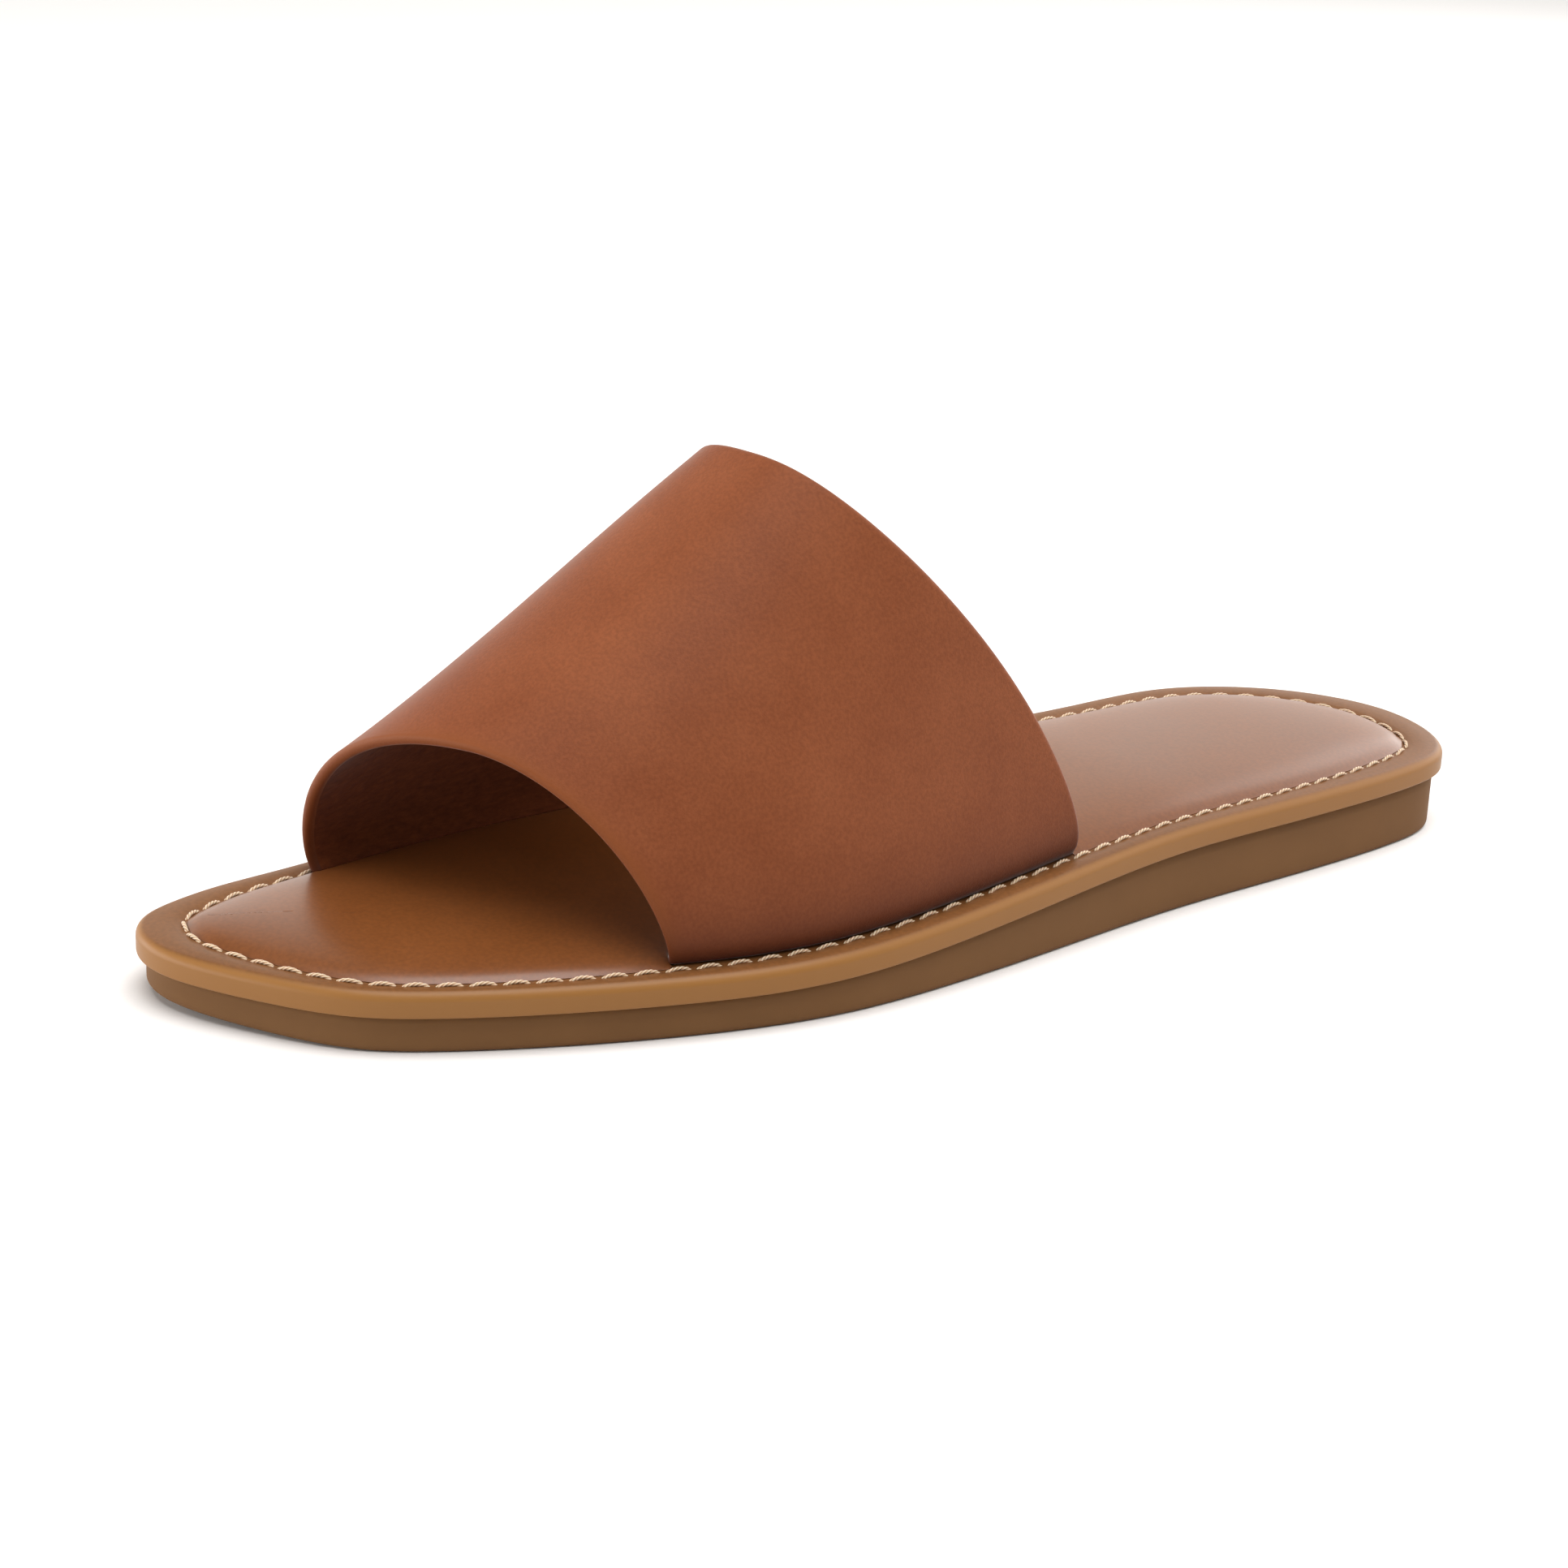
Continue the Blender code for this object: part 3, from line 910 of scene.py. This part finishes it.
def pad_turns():
    """Turns of the pad's columns: even along the edge, and close at the feet."""
    base, whole = even_turns(stitch_inset, PAD_COLUMNS)
    corners = np.array([turn_at(OUTER_BASE_START), turn_at(OUTER_BASE_END),
                        turn_at(INNER_BASE_END, outer=False),
                        turn_at(INNER_BASE_START, outer=False)])
    fine = (column(corners) + np.linspace(-FOOT_SPREAD, FOOT_SPREAD, FOOT_COLUMNS)).ravel()
    turn = np.sort(np.concatenate([base, fine]))
    return turn[np.append(True, np.diff(turn) > CLOSEST_TURN)]


def edge_distance(ring, plan):
    """Distance from plan points to the nearest side of a closed ring."""
    side = np.roll(ring, -1, axis=0) - ring
    point = plan[:, None, :]
    share = ((point - ring) * side).sum(-1) / (side * side).sum(-1)
    near = ring + np.clip(share, 0.0, 1.0)[..., None] * side
    return np.linalg.norm(point - near, axis=-1).min(axis=-1)


def soft_distance(ring, plan):
    """Smooth measure of how far inside a closed ring plan points lie.

    Each short side of the ring counts by its length over the fourth power of its
    distance r. Their sum beside one long straight side is pi / (2 d^3), so the
    cube root of pi / (2 sum) is the distance d there, and it has no creases
    where two sides are equally near.
    """
    side = np.roll(ring, -1, axis=0) - ring
    weight = np.linalg.norm(side, axis=-1)
    squared = ((plan[:, None, :] - ring - 0.5 * side) ** 2).sum(-1)
    return (2.0 * (weight / squared ** 2).sum(-1) / np.pi) ** (-1.0 / 3.0)


def make_insole():
    """Pad: rings close to its edge, then a cap that runs in to the spine.

    Its height follows the distance to the sewn edge, exact near that edge and the
    soft measure further in, also where the pad is cut back for the band. A small
    round takes off the corner of that cut.
    """
    turn = pad_turns()
    sewn = stitch_inset(turn) + PAD_FROM_STITCH
    clear = UPPER_INSET + BAND_TUCK + BAND_SKIVED + CLEARANCE
    beside_foot = foot_share(turn, PAD_STEP_RUN)
    edge = sewn + (clear - sewn) * beside_foot
    ring = inset_outline(turn, edge)
    sewn_ring = inset_outline(turn, sewn)
    close_in = [0.0, 0.0001, 0.0002, 0.0004, 0.0007, 0.0011, 0.0016, 0.0023, 0.0032,
                0.0043, 0.0056]
    plans = [inset_outline(turn, step + sewn + (clear - sewn)
                           * foot_share(turn, PAD_STEP_RUN + PAD_STEP_FADE * step))
             for step in close_in]
    last = plans[-1]
    cap = [last + (spine_point(turn) - last) * share
           for share in np.linspace(0.0, 1.0, PAD_CAP_ROWS + 1)[1:]]
    top_plan = np.stack(plans + cap)
    inward = np.stack([edge_distance(sewn_ring, row) for row in top_plan])
    inward[0] = edge - sewn
    soft = np.stack([soft_distance(sewn_ring, row) for row in top_plan[1:]])
    blend = smooth_step((inward[1:] - PAD_BLEND_START) / PAD_BLEND_RUN)
    inward[1:] += (soft - inward[1:]) * blend
    cut = np.stack([edge_distance(ring, row) for row in top_plan])
    base = footbed_top(top_plan[..., 1]) + PAD_LIFT
    height = (PAD_EDGE_RISE * (1.0 - np.exp(-inward / PAD_EDGE_RUN))
              + PAD_RISE * (1.0 - np.exp(-inward / PAD_SOFTNESS)))
    height *= 1.0 - PAD_CUT_SHARE * np.exp(-cut / PAD_CUT_ROUND) * beside_foot
    low = base - trough(inward + PAD_FROM_STITCH)
    top = np.concatenate([top_plan, (low + height)[..., None]], axis=-1)
    top[0, :, 2] = low[0]
    under_rows = [0, 5, 8, 10, len(top_plan) - 1]
    under = np.concatenate([top_plan, low[..., None]], axis=-1)[under_rows]
    points = np.concatenate([under[::-1], top[1:]])
    return mesh_object("insole_pad", points, grid_faces(*points.shape[:2]))


insole_pad = make_insole()
insole_pad.data.materials.append(insole_leather)
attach(insole_pad, "root")
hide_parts("insole")


# %% [markdown]
# ## The band
#
# The upper is one wide piece of cowhide with a soft lining. Its outer face is an
# arch from the outer to the inner side of the foot, low at the toes and high at
# the instep, and its back edge leans forward. On top of that form come small
# shapes: the sides swell a little above the sole before they tuck in, the wall
# is skived thinner towards its feet, and both open edges are a plain round.

# %% Form of the band
TOE_OPENING_HEIGHT = 0.0310
TOE_LEAN = 0.0080
INSTEP_HEIGHT = 0.0685
INSTEP_LEAN = 0.0445
LEAN_CURVE = 1.2
BAND_BASE_GAP = 0.0001
ARCH_STEPS = 4000

# Arch at the two open edges. crest: where the top lies, as a share of the way
# from outer to inner base. outer_curve, inner_curve: 2 is an ellipse, and more
# is squarer.
ARCH = (
    ("edge", "height", "lean", "crest", "outer_curve", "inner_curve"),
    ("toe", TOE_OPENING_HEIGHT, TOE_LEAN, 0.44, 1.94, 2.12),
    ("instep", INSTEP_HEIGHT, INSTEP_LEAN, 0.48, 2.58, 2.83),
)


def band_face(share, angle):
    """Outer face. share: 0 toe edge, 1 instep edge. angle: 0 outer, pi inner base.

    Both bases follow the rim. Across the foot the face is a superellipse, and
    it moves towards the toes with the sine of the angle.
    """
    toe, instep = (np.array(row[1:]) for row in ARCH[1:])
    sizes = toe[:, None] + (instep - toe)[:, None] * share.ravel()
    height, lean, crest, outer_curve, inner_curve = sizes.reshape(
        (len(toe),) + share.shape)
    outer_along = OUTER_BASE_START + (OUTER_BASE_END - OUTER_BASE_START) * share
    inner_along = INNER_BASE_START + (INNER_BASE_END - INNER_BASE_START) * share
    inset = np.full(share.shape, UPPER_INSET)
    outer = inset_outline(turn_at(outer_along), inset)
    inner = inset_outline(turn_at(inner_along, outer=False), inset)
    on_outer = angle < 0.5 * np.pi
    curve = np.where(on_outer, outer_curve, inner_curve)
    cosine = np.abs(np.cos(angle)) ** (2.0 / curve)
    rise = np.abs(np.sin(angle)) ** (2.0 / curve)
    across = np.where(on_outer, crest * (1.0 - cosine), crest + (1.0 - crest) * cosine)
    plan = outer + (inner - outer) * across[..., None]
    low = footbed_top(outer[..., 1])
    base = low + (footbed_top(inner[..., 1]) - low) * across + BAND_BASE_GAP
    y = plan[..., 1] - lean * np.abs(np.sin(angle)) ** LEAN_CURVE
    return np.stack([plan[..., 0], y, base + height * rise], axis=-1)


def even_angles(count):
    """Angles that space the columns evenly along the middle arch."""
    dense = np.linspace(0.0, np.pi, ARCH_STEPS + 1)
    arch = band_face(np.full(dense.shape, 0.5), dense)
    run = np.append(0.0, np.cumsum(np.linalg.norm(np.diff(arch, axis=0), axis=1)))
    return np.interp(np.linspace(0.0, run[-1], count), run, dense)


def band_normal(share, angle):
    """Direction square to the face and outwards, from small steps both ways."""
    step = 1e-3
    low = np.clip(angle - step, 0.0, np.pi)
    high = np.clip(angle + step, 0.0, np.pi)
    over = band_face(share, high) - band_face(share, low)
    along = band_face(share + step, angle) - band_face(share - step, angle)
    square = np.cross(along, over)
    return square / np.linalg.norm(square, axis=-1, keepdims=True)


# %% [markdown]
# The wall is one closed profile: along the outer face, round the back edge,
# back along the lining, and round the toe edge. Each of its points has a
# distance from an edge and a share of the wall's thickness, so the rolled edges
# keep their width while the band itself gets wider and narrower.

# %% Band surface
BAND_COLUMNS = 220
MIDDLE_ROWS = 34
EDGE_ROWS = 12
EDGE_ZONE = 0.0040
EDGE_STEPS = (0.0047, 0.0058, 0.0075, 0.0095)
NEAR_EDGE = 0.0120
TRACK_STEPS = 60
TURNED_IN = 0.0018
BAND_SWELL = 0.0014
SWELL_HEIGHT = 0.0070
TUCK_HEIGHT = 0.0015
SKIVE_HEIGHT = 0.0120
TOE_EDGE_TINT = 0.0022
# Height over which the painted shade at the band's foot fades out.
BASE_SHADE_HEIGHT = 0.0065
ROLL_STEPS = 11


def band_profile():
    """Profile of the wall as rows of four numbers.

    A point lies at fixed + part x (length of the face), counted from the toe
    edge. out is 0 on the outer face and -1 on the lining, and depth is its
    distance from the nearest edge.
    """
    half = 0.5 * BAND_WALL
    near = np.concatenate([np.linspace(half, EDGE_ZONE, EDGE_ROWS),
                           [*EDGE_STEPS, NEAR_EDGE]])
    part = np.linspace(0.0, 1.0, MIDDLE_ROWS + 2)[1:-1]
    fixed = np.concatenate([near, NEAR_EDGE * (1.0 - 2.0 * part), -near[::-1]])
    share = np.concatenate([0.0 * near, part, 1.0 + 0.0 * near])
    depth = np.concatenate([near, NEAR_EDGE + 0.0 * part, near[::-1]])
    angle = np.linspace(0.5 * np.pi, -0.5 * np.pi, ROLL_STEPS)[1:-1]
    roll_out = 0.5 * np.sin(angle) - 0.5
    roll_in = half - half * np.cos(angle)
    blank = 0.0 * angle
    face = np.stack([fixed, share, 0.0 * fixed, depth], axis=1)
    back = np.stack([-roll_in, blank + 1.0, roll_out, roll_in], axis=1)
    inside = np.stack([fixed, share, 0.0 * fixed - 1.0, depth], axis=1)[::-1]
    front = np.stack([roll_in, blank, roll_out, roll_in], axis=1)[::-1]
    lined = np.concatenate([0.0 * face[:, 0], blank, 1.0 * (inside[:, 3] > TURNED_IN),
                            blank])
    return np.concatenate([face, back, inside, front]), lined


def make_band():
    """Band: every profile point on every column, swelling above the sole.

    The swell is h / H times e to the power 1 - h / H, which rises fast from the
    base, is largest at the height H, and dies away above it. The tuck pulls the
    lowest part in, and the wall is skived thinner towards its feet. The faces are
    wound inwards.
    """
    profile, lined = band_profile()
    fixed, part, out, depth = profile.T[:, :, None]
    angle = even_angles(BAND_COLUMNS)[None, :]
    dense = np.linspace(0.0, 1.0, TRACK_STEPS)[:, None]
    track = band_face(dense + 0.0 * angle, angle + 0.0 * dense)
    length = np.linalg.norm(np.diff(track, axis=0), axis=-1).sum(axis=0)[None, :]
    share = (fixed + part * length) / length
    angle = angle + 0.0 * share
    face = band_face(share, angle)
    height = np.maximum(face[..., 2] - footbed_top(face[..., 1]), 0.0)
    swell = BAND_SWELL * height / SWELL_HEIGHT * np.exp(1.0 - height / SWELL_HEIGHT)
    tuck = BAND_TUCK * np.exp(-height / TUCK_HEIGHT)
    wall = BAND_SKIVED + (BAND_WALL - BAND_SKIVED) * smooth_step(height / SKIVE_HEIGHT)
    offset = swell - tuck + wall * out
    points = face + band_normal(share, angle) * offset[..., None]
    rows, columns = points.shape[:2]
    points = np.concatenate([points, points[:1]])
    faces = grid_faces(rows + 1, columns, close_columns=False)
    slots = np.repeat(lined.astype(int), columns - 1)
    toe_side = np.append(fixed * (part < 0.5) * (fixed > 0.0), fixed[0])
    mask = bell(np.append(depth, depth[0]), TOE_EDGE_TINT) * (toe_side > 0.0)
    # Painted shade: the band's colour darkens towards its foot on the sole.
    low = np.exp(-height / BASE_SHADE_HEIGHT)
    values = {"turned_edge": mask[:, None] + 0.0 * points[..., 0],
              "painted_base_shade": np.concatenate([low, low[:1]])}
    return mesh_object("wide_band", points, faces, values, slots)


def close_ends(piece):
    """Fills the open outlines where the wall stands on the footbed."""
    work = bmesh.new()
    work.from_mesh(piece.data)
    rim = [edge for edge in work.edges if edge.is_boundary]
    bmesh.ops.holes_fill(work, edges=rim, sides=0)
    work.to_mesh(piece.data)
    work.free()
    print(piece.name, count_open_edges(piece.data), "open edges after closing")


wide_band = make_band()
close_ends(wide_band)


# %% [markdown]
# The lining is a microfibre suede, dark brown, with a short nap that catches
# light only at a grazing angle. Its fibres are too fine to show, so the noise
# draws brushed tufts a millimetre wide, stretched along the foot.

# %% Lining and band finish
def make_suede():
    """Microfibre suede: deep brown, brushed nap, soft sheen."""
    material, tree, shader = start_material(
        "microfibre_suede", Roughness=0.92, Sheen_Weight=0.08,
        Sheen_Roughness=0.45, Specular_IOR_Level=0.1)
    place = add_node(tree, "ShaderNodeTexCoord").outputs["Object"]
    brushed = add_node(tree, "ShaderNodeMapping", {
        "Vector": place, "Scale": (1.0, 0.35, 1.0)})
    nap = add_node(tree, "ShaderNodeTexNoise", {
        "Vector": brushed.outputs["Vector"], "Scale": scale_for(0.9),
        "Detail": 5.0, "Roughness": 0.7})
    spread = add_node(tree, "ShaderNodeMapRange", {
        "Value": nap.outputs["Fac"], "From Min": 0.3, "From Max": 0.7})
    tone = add_node(tree, "ShaderNodeMix", {
        MIX_FACTOR: spread.outputs["Result"], MIX_A: colour("#52240F"),
        MIX_B: colour("#6A3417")}, data_type="RGBA")
    tree.links.new(tone.outputs[MIX_RESULT], shader.inputs["Base Color"])
    bump = add_node(tree, "ShaderNodeBump", {
        "Height": nap.outputs["Fac"], "Strength": 0.8, "Distance": 0.00015})
    tree.links.new(bump.outputs["Normal"], shader.inputs["Normal"])
    return material


wide_band.data.materials.append(band_leather)
wide_band.data.materials.append(make_suede())
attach(wide_band, "root")
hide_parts("upper")


# %% [markdown]
# ## Floor and light
#
# The sandal stands on a plain white sweep in a studio. Behind it is a lit white
# wall that fades upwards and to the sides, and gives the polished insole its pale
# haze. A very large soft box overhead keeps the shadow close to the sole, and two
# long low boxes light the toe and the heel.

# %% Floor
FLOOR_SIZE = 6.0


def make_floor():
    """White sweep: a flat sheet at floor level."""
    half = 0.5 * FLOOR_SIZE
    corners = np.array([[-half, -half, 0.0], [half, -half, 0.0],
                        [half, half, 0.0], [-half, half, 0.0]])
    floor = mesh_object("floor", corners, np.array([[0, 1, 2, 3]]), close=False)
    material, tree, shader = start_material(
        "white_paper", Roughness=0.9, Specular_IOR_Level=0.1)
    shader.inputs["Base Color"].default_value = colour("#ECEAE8")
    floor.data.materials.append(material)


make_floor()

# %% Light
WALL_DIRECTION = (-0.80, 0.60, 0.0)
WALL_STRENGTH = 1.45
ROOM_STRENGTH = 0.20
WALL_EDGE = 0.0
WALL_MIDDLE = 0.9
WALL_FADE = 0.12
FADE_START = 0.30
FADE_END = 0.72

# Soft boxes. size: width and height in metres. power: watts.
SOFT_BOXES = (
    ("name", "place", "size", "power"),
    ("key_box", (0.90, -0.05, 4.4), (4.0, 4.0), 290.0),
    ("toe_box", (-0.50, -1.00, 0.18), (1.8, 0.5), 15.0),
    ("heel_box", (0.10, 1.25, 0.60), (2.2, 0.9), 14.0),
)


def make_surround():
    """White light from a lit wall behind, falling off towards the dim room.

    The strength follows the angle between each direction and the wall's.
    """
    world = bpy.data.worlds.new("studio")
    bpy.context.scene.world = world
    world.use_nodes = True
    tree = world.node_tree
    look = add_node(tree, "ShaderNodeTexCoord").outputs["Generated"]
    facing = add_node(tree, "ShaderNodeVectorMath", {
        0: look, 1: WALL_DIRECTION}, operation="DOT_PRODUCT")
    strength = add_node(tree, "ShaderNodeMapRange", {
        "Value": facing.outputs["Value"], "From Min": WALL_EDGE,
        "From Max": WALL_MIDDLE, "To Min": ROOM_STRENGTH, "To Max": WALL_STRENGTH},
        interpolation_type="SMOOTHSTEP")
    up = add_node(tree, "ShaderNodeSeparateXYZ", {"Vector": look}).outputs["Z"]
    fade = add_node(tree, "ShaderNodeMapRange", {
        "Value": up, "From Min": FADE_START, "From Max": FADE_END, "To Min": 1.0,
        "To Max": WALL_FADE}, interpolation_type="SMOOTHSTEP")
    both = add_node(tree, "ShaderNodeMath", {
        0: strength.outputs["Result"], 1: fade.outputs["Result"]},
        operation="MULTIPLY")
    back = tree.nodes["Background"]
    back.inputs["Color"].default_value = colour("#FFF8F0")
    tree.links.new(both.outputs["Value"], back.inputs["Strength"])


def make_soft_box(name, place, size, power):
    """Area light of this width and height that faces the sandal."""
    data = bpy.data.lights.new(name, "AREA")
    data.shape = "RECTANGLE"
    data.size, data.size_y = size
    data.energy = power
    light = bpy.data.objects.new(name, data)
    bpy.context.scene.collection.objects.link(light)
    light.location = place
    to_sandal = CAMERA_AIM - Vector(place)
    light.rotation_euler = to_sandal.to_track_quat("-Z", "Y").to_euler()


make_surround()
for box in SOFT_BOXES[1:]:
    make_soft_box(*box)
bpy.context.scene.view_settings.view_transform = "Standard"
